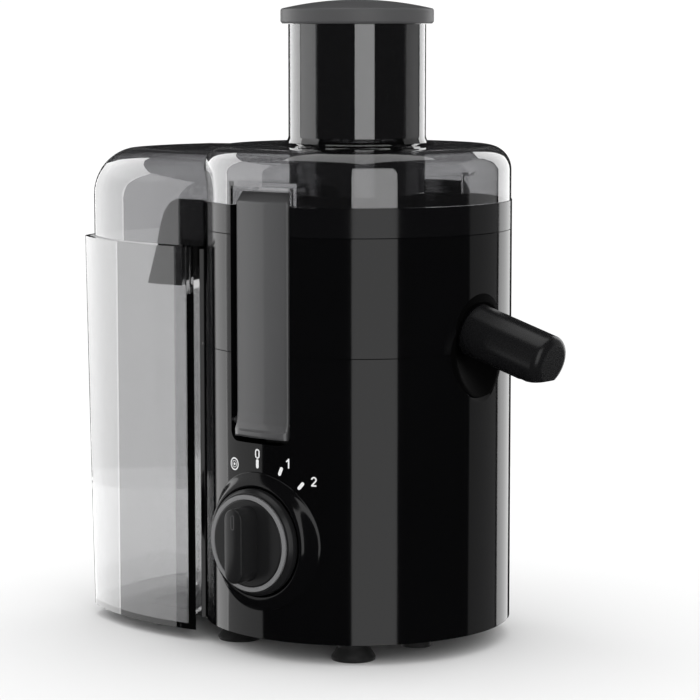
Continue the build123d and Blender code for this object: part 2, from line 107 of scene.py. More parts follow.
class JuicerSizes(bpy.types.PropertyGroup):
    """Small sizes that only the looks need."""
    clamp_edge: FloatProperty(name="Clamp edge", description="Rounding of the clamp's edges",
                              subtype="DISTANCE", unit="LENGTH", default=0.0003)
    mark_height: FloatProperty(name="Digit height", description="Height of the dial's digits",
                               subtype="DISTANCE", unit="LENGTH", default=0.0054)
    mark_radius: FloatProperty(name="Mark radius",
                               description="Distance of the dial's bars from the knob's axis",
                               subtype="DISTANCE", unit="LENGTH", default=0.0438)


class JuicerStudio(bpy.types.PropertyGroup):
    """Camera and light."""
    azimuth: FloatProperty(name="Camera azimuth", description="Turn of the camera towards the spout side",
                           subtype="ANGLE", default=math.radians(38.5))
    distance: FloatProperty(name="Camera distance", description="Level distance from the drum's axis",
                            subtype="DISTANCE", unit="LENGTH", default=1.577)
    height: FloatProperty(name="Camera height", description="Height above the table",
                          subtype="DISTANCE", unit="LENGTH", default=0.3536)
    tilt: FloatProperty(name="Camera tilt", description="Downward tilt", subtype="ANGLE",
                        default=math.radians(6.79))
    lens: FloatProperty(name="Lens", description="Focal length in millimetres", default=141.1)
    aside: FloatProperty(name="Aside", description="How far left of the axis the camera aims",
                         subtype="DISTANCE", unit="LENGTH", default=0.0041)


# ---------------------------------------------------------------------------
# Shader maths
# ---------------------------------------------------------------------------

class Wire:
    """A value socket that grows Math nodes when it is used in an expression."""

    def __init__(self, graph, socket):
        self.graph = graph
        self.socket = socket

    def __add__(self, other):
        return self.graph.maths("ADD", self, other)

    def __sub__(self, other):
        return self.graph.maths("SUBTRACT", self, other)

    def __mul__(self, other):
        return self.graph.maths("MULTIPLY", self, other)

    __radd__ = __add__
    __rmul__ = __mul__


class Finish:
    """A material with one Principled shader, built from expressions."""

    def __init__(self, name, **fixed):
        self.material = bpy.data.materials.new(name)
        self.material.use_nodes = True
        self.tree = self.material.node_tree
        self.tree.nodes.clear()
        output = self.tree.nodes.new("ShaderNodeOutputMaterial")
        self.shader = self.tree.nodes.new("ShaderNodeBsdfPrincipled")
        self.tree.links.new(self.shader.outputs[0], output.inputs["Surface"])
        for socket, value in fixed.items():
            self.feed(self.shader.inputs[socket.replace("_", " ")], value)

    def feed(self, socket, value):
        if isinstance(value, Wire):
            self.tree.links.new(value.socket, socket)
        elif hasattr(value, "__len__") and len(value) == 3 and len(socket.default_value) == 4:
            socket.default_value = (*value, 1)
        else:
            socket.default_value = value

    def node(self, kind, settings=(), values=(), output=0):
        """Any node: its settings first, then the values or links of its sockets."""
        made = self.tree.nodes.new(kind)
        for key, value in dict(settings).items():
            if key == "stops":
                self.stops(made.color_ramp, value)
            else:
                setattr(made, key, value)
        for key, value in dict(values).items():
            self.feed(made.inputs[key], value)
        return Wire(self, made.outputs[output])

    @staticmethod
    def stops(ramp, wanted):
        while len(ramp.elements) < len(wanted):
            ramp.elements.new(0.5)
        for element, (place, shade) in zip(ramp.elements, wanted):
            element.position = place
            element.color = (shade, shade, shade, 1)

    def maths(self, operation, first, second=0.0):
        return self.node("ShaderNodeMath", {"operation": operation}, {0: first, 1: second})

    def place(self):
        """Position on the object, in metres."""
        return self.node("ShaderNodeTexCoord", output="Object")

    def stretched(self, x, y, z):
        return self.node("ShaderNodeMapping", {}, {"Vector": self.place(), "Scale": (x, y, z)})

    def noise(self, scale, detail=2.0, vector=None, roughness=0.5):
        values = {"Vector": vector or self.place(), "Scale": scale, "Detail": detail, "Roughness": roughness}
        return self.node("ShaderNodeTexNoise", {}, values)

    def ramp(self, value, low, high):
        """Black below the low value and white above the high one."""
        return self.node("ShaderNodeValToRGB", {"stops": [(low, 0.0), (high, 1.0)]}, {"Fac": value})

    def blend(self, factor, first, second):
        """Colour mix. The node's sockets 6 and 7 are its colours and output 2 is the mixed colour."""
        values = {0: factor, 6: (*first, 1), 7: (*second, 1)}
        return self.node("ShaderNodeMix", {"data_type": "RGBA"}, values, 2)

    def bump(self, height, depth, strength=1.0):
        return self.node("ShaderNodeBump", {}, {"Height": height, "Distance": depth, "Strength": strength})

    def set(self, socket, value):
        self.feed(self.shader.inputs[socket], value)


def shade(colour, amount):
    return tuple(min(1.0, part * amount) for part in colour)


def gloss_plastic(name, colour, rough=0.055):
    """Polished moulding: faint flow waves, light handling marks, tiny tint changes."""
    f = Finish(name, IOR=1.5, Specular_IOR_Level=0.5)
    cloud = f.noise(14, 3)
    specks = f.ramp(f.noise(900, 1), 0.66, 0.74)
    f.set("Base Color", f.blend(cloud, shade(colour, 0.8), shade(colour, 1.25)))
    f.set("Roughness", rough + 0.035 * cloud + 0.05 * specks)
    f.set("Normal", f.bump(f.noise(28, 1), 0.00006, 0.5))
    return f.material


def satin_plastic(name, colour, rough=0.42, grain=0.00003):
    """Spark-eroded satin moulding: fine grain in the bump, soft changes of tone."""
    f = Finish(name, IOR=1.48)
    cloud = f.noise(22, 4)
    spark = f.noise(1500, 3, roughness=0.7)
    f.set("Base Color", f.blend(cloud, shade(colour, 0.88), shade(colour, 1.12)))
    f.set("Roughness", rough + 0.08 * cloud + 0.06 * spark)
    f.set("Normal", f.bump(spark, grain, 0.8))
    return f.material


def coated_plastic(name, colour):
    """Satin moulding under a thin lacquer that mirrors softly."""
    f = Finish(name, IOR=1.5, Specular_IOR_Level=0.9, Coat_Weight=0.55, Coat_Roughness=0.07)
    cloud = f.noise(24, 3)
    f.set("Base Color", f.blend(cloud, shade(colour, 0.9), shade(colour, 1.1)))
    f.set("Roughness", 0.36 + 0.06 * cloud)
    f.set("Normal", f.bump(f.noise(1400, 2), 0.000006, 0.6))
    return f.material


def rubber(name):
    """Black rubber with dust in its pores."""
    colour = (0.012, 0.012, 0.012)
    f = Finish(name, IOR=1.5)
    dust = f.ramp(f.noise(240, 4), 0.45, 0.7)
    f.set("Base Color", f.blend(dust, colour, shade(colour, 1.9)))
    f.set("Roughness", 0.62 + 0.16 * dust)
    f.set("Normal", f.bump(f.noise(1800, 2), 0.00004, 0.7))
    return f.material


def clear_plastic(name, tint):
    """Clear or smoked moulding with a little unevenness in its polish."""
    f = Finish(name, Transmission_Weight=1.0, IOR=1.49, Coat_Weight=1.0, Coat_IOR=1.85, Coat_Roughness=0.015)
    haze = f.noise(30, 3)
    f.set("Base Color", f.blend(haze, shade(tint, 0.97), shade(tint, 1.02)))
    f.set("Roughness", 0.018 + 0.02 * haze)
    f.set("Normal", f.bump(f.noise(16, 1), 0.00008, 0.35))
    return f.material


def brushed_metal(name, colour, rough=0.28):
    """Metal with fine level lines."""
    f = Finish(name, Metallic=1.0)
    lines = f.noise(60, 4, f.stretched(1, 1, 40))
    cloud = f.noise(35, 2)
    f.set("Base Color", f.blend(cloud, shade(colour, 0.85), shade(colour, 1.08)))
    f.set("Roughness", rough + 0.14 * lines + 0.05 * cloud)
    f.set("Normal", f.bump(lines, 0.00003, 0.6))
    return f.material


def cast_metal(name, colour):
    """Die-cast metal with small pits."""
    f = Finish(name, Metallic=1.0)
    pits = f.node("ShaderNodeTexVoronoi", {}, {"Vector": f.place(), "Scale": 700})
    cloud = f.noise(60, 4)
    f.set("Base Color", f.blend(cloud, shade(colour, 0.7), shade(colour, 1.1)))
    f.set("Roughness", 0.5 + 0.15 * cloud)
    f.set("Normal", f.bump(pits, 0.00008, 0.6))
    return f.material


def wound_wire(name, colour):
    """Enamelled copper wire laid in close turns."""
    f = Finish(name, Metallic=0.85, Coat_Weight=0.6, Coat_Roughness=0.15)
    turns = f.node("ShaderNodeTexWave", {"wave_type": "BANDS", "bands_direction": "Z"},
                   {"Vector": f.place(), "Scale": 420, "Distortion": 0.6, "Detail": 1}, 1)
    patina = f.noise(80, 3)
    f.set("Base Color", f.blend(patina, shade(colour, 0.7), shade(colour, 1.15)))
    f.set("Roughness", 0.3 + 0.2 * patina)
    f.set("Normal", f.bump(turns, 0.0003, 1.0))
    return f.material


def laminations(name, colour):
    """Stack of thin steel sheets."""
    f = Finish(name, Metallic=0.9)
    sheets = f.node("ShaderNodeTexWave",
                    {"wave_type": "BANDS", "bands_direction": "Z", "wave_profile": "SAW"},
                    {"Vector": f.place(), "Scale": 320, "Distortion": 0.0}, 1)
    rust = f.noise(120, 5)
    f.set("Base Color", f.blend(rust, shade(colour, 0.55), shade(colour, 1.2)))
    f.set("Roughness", 0.45 + 0.25 * rust)
    f.set("Normal", f.bump(sheets, 0.0001, 0.8))
    return f.material


def perforated_steel(name, colour):
    """Thin etched sheet with rows of small round holes."""
    f = Finish(name, Metallic=1.0)
    point = f.node("ShaderNodeVectorMath", {"operation": "SUBTRACT"}, {0: f.place(), 1: tuple(AXIS)})
    x, y, z = (f.node("ShaderNodeSeparateXYZ", {}, {0: point}, axis) for axis in "XYZ")
    across = f.maths("ARCTAN2", y, x) * (HOLES_ROUND / math.tau)
    up = z * HOLE_ROWS
    row = f.maths("FLOOR", up)
    stagger = f.maths("MODULO", row, 2.0) * 0.5
    u = f.maths("FRACT", across + stagger + 200) - 0.5       # 200 keeps the value above zero
    v = f.maths("FRACT", up) - 0.5
    reach = f.maths("SQRT", u * u + v * v)
    sheet = f.maths("GREATER_THAN", reach, HOLE_SHARE)
    cloud = f.noise(90, 3)
    f.set("Base Color", f.blend(cloud, shade(colour, 0.8), shade(colour, 1.1)))
    f.set("Roughness", 0.25 + 0.15 * cloud)
    f.set("Alpha", sheet)
    return f.material


def painted_shade_black(name):
    """Rough black that gives back hardly any light, standing in as painted shade in a hollow."""
    f = Finish(name, IOR=1.3, Specular_IOR_Level=0.12)
    grain = f.noise(500, 3)
    f.set("Base Color", f.blend(grain, (0.0007, 0.0007, 0.0008), (0.0015, 0.0015, 0.0016)))
    f.set("Roughness", 0.55 + 0.1 * grain)
    return f.material


def dial_paint(name, colour):
    """Printed paint, slightly worn."""
    f = Finish(name, IOR=1.45)
    wear = f.noise(600, 3)
    f.set("Base Color", f.blend(wear, shade(colour, 0.92), shade(colour, 1.04)))
    f.set("Roughness", 0.5 + 0.1 * wear)
    f.set("Normal", f.bump(wear, 0.00001, 0.4))
    return f.material


# ---------------------------------------------------------------------------
# Mesh helpers
# ---------------------------------------------------------------------------

def dress(node, material):
    """Gives a CAD node its material."""
    mesh = frame["nodes"][node].data
    mesh.materials.clear()
    mesh.materials.append(material)


def new_piece(name, mesh, material, body, slot, *stands_for):
    """Links a mesh as a piece that rides on a body and stands for CAD nodes."""
    piece = bpy.data.objects.new(name, mesh)
    bpy.context.scene.collection.objects.link(piece)
    mesh.materials.append(material)
    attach(piece, body)
    if stands_for:
        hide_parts(*stands_for)
    return piece


def skin(bm, rows, caps=False):
    """Joins neighbouring rings of as many points each, and closes both ends when asked."""
    count = len(rows[0])
    for here, there in zip(rows, rows[1:]):
        for i in range(count):
            j = (i + 1) % count
            bm.faces.new((here[i], here[j], there[j], there[i]))
    if caps:
        bm.faces.new(rows[-1])
        bm.faces.new(list(reversed(rows[0])))


def mesh_from(bm, name, smooth=True):
    """Turns a bmesh into a mesh with its faces turned outward."""
    bmesh.ops.recalc_face_normals(bm, faces=bm.faces)
    mesh = bpy.data.meshes.new(name)
    bm.to_mesh(mesh)
    bm.free()
    for face in mesh.polygons:
        face.use_smooth = smooth
    return mesh


def rounded(corners, steps=6):
    """Closed outline from (x, y, radius) corners, each corner turned into an arc."""
    outline = []
    count = len(corners)
    for i, (x, y, radius) in enumerate(corners):
        here = Vector((x, y))
        before = Vector(corners[i - 1][:2])
        after = Vector(corners[(i + 1) % count][:2])
        if radius <= 0:
            outline.append(here)
            continue
        into = (before - here).normalized()
        out = (after - here).normalized()
        half = into.angle(out) / 2
        shorter = min((before - here).length, (after - here).length)
        reach = min(radius / math.tan(half), 0.49 * shorter)
        centre = here + (into + out).normalized() * reach / math.cos(half)
        start = here + into * reach - centre
        end = here + out * reach - centre
        turn = math.atan2(start.x * end.y - start.y * end.x, start.dot(end))
        for k in range(steps + 1):
            outline.append(centre + Matrix.Rotation(turn * k / steps, 2) @ start)
    return outline


def turned_mesh(name, outline, place):
    """Closed outline of (radius, height) revolved about the local Z axis."""
    bm = bmesh.new()
    rings = []
    for k in range(TURN_STEPS):
        angle = math.tau * k / TURN_STEPS
        rings.append([bm.verts.new((p.x * math.cos(angle), p.x * math.sin(angle), p.y)) for p in outline])
    skin(bm, rings + rings[:1])
    bmesh.ops.remove_doubles(bm, verts=bm.verts, dist=DEGENERATE)
    bmesh.ops.dissolve_degenerate(bm, edges=bm.edges, dist=DEGENERATE)
    bm.transform(place)
    return mesh_from(bm, name)


def out_of_front():
    """The knob's frame: local Z out of the juicer's front, local X to the spout, local Y up."""
    turn = Matrix(((1, 0, 0), (0, 0, -1), (0, 1, 0))).to_4x4()
    return Matrix.Translation((AXIS.x, AXIS.y, KNOB_Z)) @ turn


def in_front(node):
    """Nearest and farthest distance of a front node from the axis, and its half width."""
    low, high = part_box(node)
    return AXIS.y - high.y, AXIS.y - low.y, (high.x - low.x) / 2


def drum_front(x, proud=0.0):
    """How far in front of the axis the drum's surface lies at a sideways offset."""
    return math.sqrt((DRUM_R + proud) ** 2 - x * x)


def racetrack(half_width, half_length, share=1.0, steps=16):
    """Slot-shaped outline with round ends up and down, its width cut to a share."""
    radius = half_width * share
    straight = half_length - half_width
    track = []
    for end in (1, -1):
        for k in range(steps + 1):
            angle = math.pi * k / steps + (0 if end > 0 else math.pi)
            track.append((radius * math.cos(angle), end * straight + radius * math.sin(angle)))
    return track


def soften(piece, width, segments=3, limit=35):
    """Rounds the sharp edges of a piece."""
    bevel = piece.modifiers.new("edges", "BEVEL")
    bevel.width = width
    bevel.segments = segments
    bevel.limit_method = "ANGLE"
    bevel.angle_limit = math.radians(limit)
    bevel.harden_normals = True


# ---------------------------------------------------------------------------
# Pieces
# ---------------------------------------------------------------------------

class JUICER_OT_covers(bpy.types.Operator):
    """Finishes the drum's covers, base plate and cord gland"""
    bl_idname = "juicer.covers"
    bl_label = "Covers"

    def execute(self, context):
        colours = context.scene.juicer_colours
        body = gloss_plastic("drum_gloss_black", colours.body)
        for node in ("motor_housing", "juice_collector", "pulp_guide"):
            soften(frame["nodes"][node], 0.35 * MM, 2, 50)
        dress("motor_housing", body)
        dress("juice_collector", body)
        dress("pulp_guide", gloss_plastic("guide_gloss_black", shade(colours.body, 1.6), 0.09))
        dress("base_plate", satin_plastic("base_satin_black", (0.014, 0.014, 0.014)))
        dress("cord_gland", rubber("gland_rubber"))
        bezel = gloss_plastic("bezel_gloss_black", shade(colours.body, 1.3), 0.1)
        new_piece("knob_bezel_moulded", self.bezel(), bezel, "base", "bezel_black", "knob_bezel")
        return {"FINISHED"}

    @staticmethod
    def bezel():
        """Saddle-shaped ring that swells from the drum up to the rim round the knob."""
        crest, well = 32.2 * MM, 30.8 * MM          # radii of the rim and of the well inside it
        crown, floor = 91.0 * MM, 89.1 * MM         # how far the rim and the well's floor stand out
        slope, root = 14, (-1.5 * MM, 0.6 * MM)     # rings up the slope, and the root's depths in the drum
        across = BEZEL_R - crest
        radii = [BEZEL_R - 0.02 * MM, BEZEL_R, BEZEL_R - 0.25 * MM]
        radii += [BEZEL_R - across * (k / slope) for k in range(1, slope + 1)]
        circle = [(math.cos(math.tau * k / TURN_STEPS), math.sin(math.tau * k / TURN_STEPS))
                  for k in range(TURN_STEPS)]
        bm = bmesh.new()
        rings = []
        for index, radius in enumerate(radii):
            share = (BEZEL_R - radius) / across
            rise = share * share * (3 - 2 * share)
            proud = root[index] if index < len(root) else 0.9 * MM
            ring = []
            for cosine, sine in circle:
                low = drum_front(radius * cosine, proud)
                out = low + (max(crown, low) - low) * rise
                ring.append(bm.verts.new((radius * cosine, -out, radius * sine)))
            rings.append(ring)
        for radius, out in ((crest - 0.5 * MM, crown + 0.05 * MM), (well, crown - 0.5 * MM),
                            (well, floor), (4 * MM, floor)):
            rings.append([bm.verts.new((radius * cosine, -out, radius * sine)) for cosine, sine in circle])
        skin(bm, rings)
        bm.transform(Matrix.Translation((AXIS.x, AXIS.y, KNOB_Z)))
        return mesh_from(bm, "knob_bezel_moulded")


class JUICER_OT_clear_parts(bpy.types.Operator):
    """Finishes the lid, the pusher body and the pulp bin"""
    bl_idname = "juicer.clear_parts"
    bl_label = "Clear parts"

    def execute(self, context):
        colours = context.scene.juicer_colours
        dress("lid", clear_plastic("lid_smoked_clear", colours.lid))
        dress("pulp_bin", clear_plastic("bin_clear", colours.bin))
        soften(frame["nodes"]["pulp_bin"], 0.7 * MM, 3, 50)
        soften(frame["nodes"]["lid"], 0.4 * MM, 2, 50)
        dress("pusher_body", gloss_plastic("pusher_smoked_black", (0.006, 0.006, 0.007), 0.08))
        return {"FINISHED"}


def clamp_mesh(name, front):
    """Clamp bar: its face is turned about the drum's axis, its back and hook are straight."""
    low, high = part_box("front_clamp")
    bottom, top = low.z, high.z
    hook, lip, half = in_front("front_clamp")
    back = hook + 3 * MM
    face = lip - 3.2 * MM            # the bar's face, which the finger lip stands out from
    side_round = 2.0 * MM            # rounding of the two long edges
    lip_corner = 6 * MM              # rounding of the lip's ends
    outline = rounded([
        (lip, bottom + 1.2 * MM, 0.9 * MM), (lip, bottom + 3.3 * MM, 0.5 * MM),
        (lip - 1.6 * MM, bottom + 4.6 * MM, 3 * MM), (face + 0.4 * MM, bottom + 8 * MM, 6 * MM),
        (face, bottom + 14 * MM, 6 * MM), (face, top - 5.5 * MM, 2.2 * MM), (face - 5.2 * MM, top, 1.6 * MM),
        (hook, top, 0.5 * MM), (hook, top - 3.65 * MM, 0.2 * MM), (back, top - 6.65 * MM, 0.4 * MM),
        (back, bottom + 2 * MM, 0.8 * MM), (back + 2 * MM, bottom, 0.8 * MM),
        (lip - 1.2 * MM, bottom, 0.9 * MM)], 5)
    stations = [-half + side_round * (1 - math.cos(k * math.pi / 16)) for k in range(9)]
    stations += [-half + side_round + (half - side_round) * k / 10 for k in range(1, 10)] + [0.0]
    stations = sorted({round(x, 7) for x in stations} | {round(-x, 7) for x in stations})
    bm = bmesh.new()
    rows = []
    for x in stations:
        past = max(0.0, abs(x) - half + side_round)
        trim = side_round - math.sqrt(max(side_round ** 2 - past ** 2, 0))
        row = []
        for d, z in outline:
            if d > face - 6 * MM:
                lean = max(0.0, min(1.0, (d - back) / (face - back)))
                d -= trim * lean
                if z > top - 6 * MM:
                    z -= trim * 0.8
                if d > face:
                    over = max(0.0, abs(x) - half + lip_corner) / lip_corner
                    d = min(d, face + (lip - face) * math.sqrt(max(1 - over ** 2, 0)) + 0.05 * MM)
                d = math.sqrt(max(d * d - x * x, 0))
            elif z > top - 0.1 * MM:
                z -= trim * 0.8
            row.append(bm.verts.new((x, -d, z)))
        rows.append(row)
    skin(bm, rows, caps=True)
    bmesh.ops.remove_doubles(bm, verts=bm.verts, dist=1e-6)
    place = Matrix.Translation(AXIS)
    if not front:
        place = place @ Matrix.Rotation(math.pi, 4, "Z")
    bm.transform(place)
    return mesh_from(bm, name)


class JUICER_OT_clamps(bpy.types.Operator):
    """Builds the two clamps"""
    bl_idname = "juicer.clamps"
    bl_label = "Clamps"

    def execute(self, context):
        edge = context.scene.juicer_sizes.clamp_edge
        material = coated_plastic("clamp_satin_grey", context.scene.juicer_colours.clamp)
        for body, front in (("front_clamp", True), ("rear_clamp", False)):
            mesh = clamp_mesh(body + "_bar", front)
            piece = new_piece(body + "_bar", mesh, material, body, "clamp_grey", body)
            soften(piece, edge, 2, 60)
        dress("clamp_pins", brushed_metal("pin_steel", (0.5, 0.5, 0.51)))
        return {"FINISHED"}


class JUICER_OT_knob(bpy.types.Operator):
    """Builds the speed knob: collar, silver ring and grip"""
    bl_idname = "juicer.knob"
    bl_label = "Speed knob"

    def execute(self, context):
        colours = context.scene.juicer_colours
        out = out_of_front()
        black = satin_plastic("knob_satin_black", (0.010, 0.010, 0.0105), 0.24, 0.00001)
        bore = 3.3 * MM              # clears the spindle
        low, high, radius = in_front("knob_collar")
        outline = rounded([
            (bore, low, 0), (radius - 0.6 * MM, low, 0.3 * MM), (radius, low + 0.8 * MM, 0.3 * MM),
            (radius, high - 2.4 * MM, 1.2 * MM), (radius - 1.8 * MM, high, 1.0 * MM), (bore, high, 0)])
        new_piece("knob_collar_turned", turned_mesh("knob_collar_turned", outline, out), black,
                  "knob", "knob_black", "knob_collar")
        low, high, radius = in_front("knob_trim_ring")
        inner = radius - 2.5 * MM
        outline = rounded([(inner, low, 0), (radius, low, 0), (radius, high, 0.15 * MM),
                           (inner, high, 0.15 * MM)])
        silver = satin_plastic("ring_silver_paint", colours.trim, 0.3, 0.000004)
        new_piece("knob_ring_turned", turned_mesh("knob_ring_turned", outline, out), silver,
                  "knob", "trim_silver", "knob_trim_ring")
        self.grip(black, out)
        dress("knob_spindle", satin_plastic("spindle_black", (0.02, 0.02, 0.02)))
        return {"FINISHED"}

    def grip(self, black, out):
        """Disc, bar across it and the pointer let into the bar's upper end."""
        foot, tip, radius = in_front("knob_grip")
        deck = foot + 1.2 * MM
        disc = rounded([(0, foot, 0), (radius, foot, 0), (radius, foot + 2.0 * MM, 0.8 * MM), (0, deck, 0)])
        new_piece("knob_disc", turned_mesh("knob_disc", disc, out), black, "knob", "knob_black", "knob_grip")
        levels = ((deck, 1.05), (tip - 1.4 * MM, 1.0), (tip - 0.8 * MM, 0.985), (tip - 0.3 * MM, 0.95),
                  (tip, 0.89))
        mesh = self.stacked("knob_grip_bar", 6.35 * MM, 21 * MM, 0, levels, out)
        soften(new_piece("knob_grip_bar", mesh, black, "knob", "knob_black"), 0.3 * MM, 2, 40)
        rim = tip + 0.12 * MM
        levels = ((tip - 0.5 * MM, 1.0), (rim, 1.0), (rim, 0.6), (tip - 0.3 * MM, 0.55))
        mesh = self.stacked("knob_pointer", 1.3 * MM, 4.2 * MM, 13.5 * MM, levels, out, False)
        grey = satin_plastic("pointer_grey", (0.05, 0.05, 0.052), 0.35)
        new_piece("knob_pointer", mesh, grey, "knob", "knob_black")

    @staticmethod
    def stacked(name, half_width, half_length, up, levels, out, smooth=True):
        """Racetracks stacked at the given levels, each narrowed to its share of the width."""
        bm = bmesh.new()
        skin(bm, [[bm.verts.new((x, y + up, level)) for x, y in racetrack(half_width, half_length, share)]
                  for level, share in levels], caps=True)
        bm.transform(out)
        return mesh_from(bm, name, smooth)


class JUICER_OT_dial_marks(bpy.types.Operator):
    """Prints the dial's bars, digits and pulse sign on the drum"""
    bl_idname = "juicer.dial_marks"
    bl_label = "Dial marks"

    def execute(self, context):
        sizes = context.scene.juicer_sizes
        paint = dial_paint("dial_print", context.scene.juicer_colours.marks)
        bm = bmesh.new()
        for turn in SPEED_TURNS:
            self.bar(bm, sizes.mark_radius, math.radians(turn))
        self.pulse(bm, sizes.mark_radius + 1.9 * MM, math.radians(PULSE_TURN))
        new_piece("dial_bars", self.wrapped(bm, "dial_bars"), paint, "base", "trim_silver")
        for digit, turn, reach in DIGITS:
            self.digit(digit, math.radians(turn), sizes.mark_radius + reach * MM, sizes.mark_height, paint)
        return {"FINISHED"}

    @staticmethod
    def bar(bm, radius, turn):
        """Short radial bar that marks a speed."""
        spin = Matrix.Rotation(-turn, 2)
        points = [spin @ Vector((x, y + radius)) for x, y in racetrack(0.98 * MM, 2.6 * MM, steps=6)]
        bm.faces.new([bm.verts.new((*point, 0)) for point in points])

    @staticmethod
    def pulse(bm, radius, turn):
        """Two rings and a dot."""
        steps = 32
        centre = Matrix.Rotation(-turn, 2) @ Vector((0, radius))
        for inner, outer in ((2.9 * MM, 3.6 * MM), (1.7 * MM, 2.0 * MM), (0.0, 0.75 * MM)):
            rows = []
            for reach in (outer, inner) if inner else (outer,):
                ways = [Vector((math.cos(math.tau * k / steps), math.sin(math.tau * k / steps)))
                        for k in range(steps)]
                rows.append([bm.verts.new((*(centre + way * reach), 0)) for way in ways])
            if inner:
                skin(bm, rows)
            else:
                bm.faces.new(rows[0])

    @staticmethod
    def path(text, right, top):
        """Centre line of a digit's band, which reaches right sideways and top upward."""
        middle = top - right                 # height of the middle of the upper bend
        if text == "0":
            turns = [math.tau * (k + 0.5) / 24 for k in range(25)]
            return [(right * math.cos(a), math.copysign(middle, math.sin(a)) + right * math.sin(a))
                    for a in turns]
        if text == "1":
            return [(-0.7 * right, 0.5 * top), (0.25 * right, top), (0.25 * right, -top)]
        start, sweep = math.radians(170), math.radians(-205)
        turns = [start + sweep * k / 12 for k in range(13)]
        return [*((right * math.cos(a), middle + right * math.sin(a)) for a in turns),
                (-right, -top), (right, -top)]

    def digit(self, text, turn, radius, height, paint):
        """One upright digit drawn as a band of even width along a path."""
        wide, band = 0.62 * height, 0.15 * height
        path = self.path(text, (wide - band) / 2, (height - band) / 2)
        bm = bmesh.new()
        centre = Matrix.Rotation(-turn, 2) @ Vector((0, radius))
        for first, second in zip(path, path[1:]):
            a, b = Vector(first) + centre, Vector(second) + centre
            along = (b - a).normalized() * band / 2
            side = Vector((-along.y, along.x))
            past = along * (0.9 if text == "1" else 0.35)
            corners = (a - past - side, b + past - side, b + past + side, a - past + side)
            bm.faces.new([bm.verts.new((*corner, 0)) for corner in corners])
        name = "dial_digit_" + text
        new_piece(name, self.wrapped(bm, name), paint, "base", "trim_silver")

    @staticmethod
    def wrapped(bm, name):
        """Thickens flat marks a little and lays them round the drum."""
        edges = [edge for edge in bm.edges if edge.calc_length() > 1.2 * MM]
        if edges:
            bmesh.ops.subdivide_edges(bm, edges=edges, cuts=3)
        bmesh.ops.triangulate(bm, faces=bm.faces)
        made = bmesh.ops.extrude_face_region(bm, geom=bm.faces[:])
        for vert in [v for v in made["geom"] if isinstance(v, bmesh.types.BMVert)]:
            vert.co.z += PRINT_THICK
        lift = DRUM_R - PRINT_SUNK
        for vert in bm.verts:
            across, up, thick = vert.co
            out = lift + thick
            angle = across / DRUM_R
            vert.co = (AXIS.x + out * math.sin(angle), AXIS.y - out * math.cos(angle), KNOB_Z + up)
        return mesh_from(bm, name, False)


class JUICER_OT_pusher_cap(bpy.types.Operator):
    """Builds the pusher's grey cap"""
    bl_idname = "juicer.pusher_cap"
    bl_label = "Pusher cap"

    def execute(self, context):
        low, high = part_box("pusher_cap")
        radius = (high.x - low.x) / 2
        edge = low.z + 8.4 * MM              # where the wall turns into the dome
        rise = high.z - edge
        sphere = (radius ** 2 + rise ** 2) / (2 * rise)
        dome = [(r, high.z - sphere + math.sqrt(sphere ** 2 - r ** 2), 0)
                for r in (radius * k / 24 for k in range(22, -1, -1))]
        outline = rounded([(0, low.z, 0), (radius - 1.0 * MM, low.z, 0.5 * MM),
                           (radius, low.z + 1.2 * MM, 0.8 * MM), (radius, edge, 1.5 * MM), *dome])
        mesh = turned_mesh("pusher_cap_turned", outline, Matrix.Translation(AXIS))
        material = satin_plastic("cap_satin_grey", context.scene.juicer_colours.cap, 0.38, 0.00002)
        new_piece("pusher_cap_turned", mesh, material, "pusher", "cap_grey", "pusher_cap")
        return {"FINISHED"}


class JUICER_OT_spout(bpy.types.Operator):
    """Finishes the juice spout"""
    bl_idname = "juicer.spout"
    bl_label = "Spout"

    def execute(self, context):
        colour = context.scene.juicer_colours.spout
        dress("spout", satin_plastic("spout_satin_black", colour, 0.2, 0.00001))
        soften(frame["nodes"]["spout"], 0.5 * MM, 3, 40)
        # The well's liner is real dark plastic, and its near-lightless black is also painted shade in the
        # hollow round the spout's root.
        new_piece("spout_well", self.well(), painted_shade_black("well_black_painted_shade"), "base", "body_black")
        return {"FINISHED"}

    @staticmethod
    def well():
        """Dished liner between the drum and the swivelling spout, longer below the spout than above."""
        joint = next(one for one in frame["joints"] if one["name"] == "spout_turn")
        way = Vector(joint["axis"]).normalized()
        middle = Vector(joint["pos_m"])
        side = Vector((0, 1, 0))
        down = side.cross(way)
        throat, dish_start, dish_step = 15.35, 16.5, 1.3     # radii and their step, in mm
        start_depth, slope = -16.4, 0.823                    # mm along the axis, and mm of depth in a mm
        reach_up, reach_more = 21.0, 14.0                    # radius above, and how much more below
        rows = [(throat, -18.5), (throat, -16.9)] + [(dish_start + k * dish_step, None) for k in range(15)]
        bm = bmesh.new()
        rings = []
        for radius, along in rows:
            ring = []
            for k in range(TURN_STEPS):
                angle = math.tau * k / TURN_STEPS
                reach = min(radius, reach_up + reach_more * max(0.0, math.sin(angle)))
                depth = along if along is not None else (reach - dish_start) * slope + start_depth
                spoke = side * math.cos(angle) + down * math.sin(angle)
                point = middle + spoke * reach * MM + way * depth * MM
                for _ in range(4):       # draws a point that stands out of the drum back to its surface
                    past = (point - AXIS).xy.length - DRUM_R - 0.04 * MM
                    if past > 0:
                        point = point - way * past / way.xy.length
                ring.append(bm.verts.new(point))
            rings.append(ring)
        skin(bm, rings)
        bmesh.ops.remove_doubles(bm, verts=bm.verts, dist=DEGENERATE)
        return mesh_from(bm, "spout_well")


class JUICER_OT_feet(bpy.types.Operator):
    """Finishes the feet, pads and base screws"""
    bl_idname = "juicer.feet"
    bl_label = "Feet"

    def execute(self, context):
        sole = rubber("foot_rubber")
        dress("feet", sole)
        dress("support_pads", sole)
        dress("base_screws", brushed_metal("screw_steel", (0.45, 0.45, 0.46)))
        return {"FINISHED"}


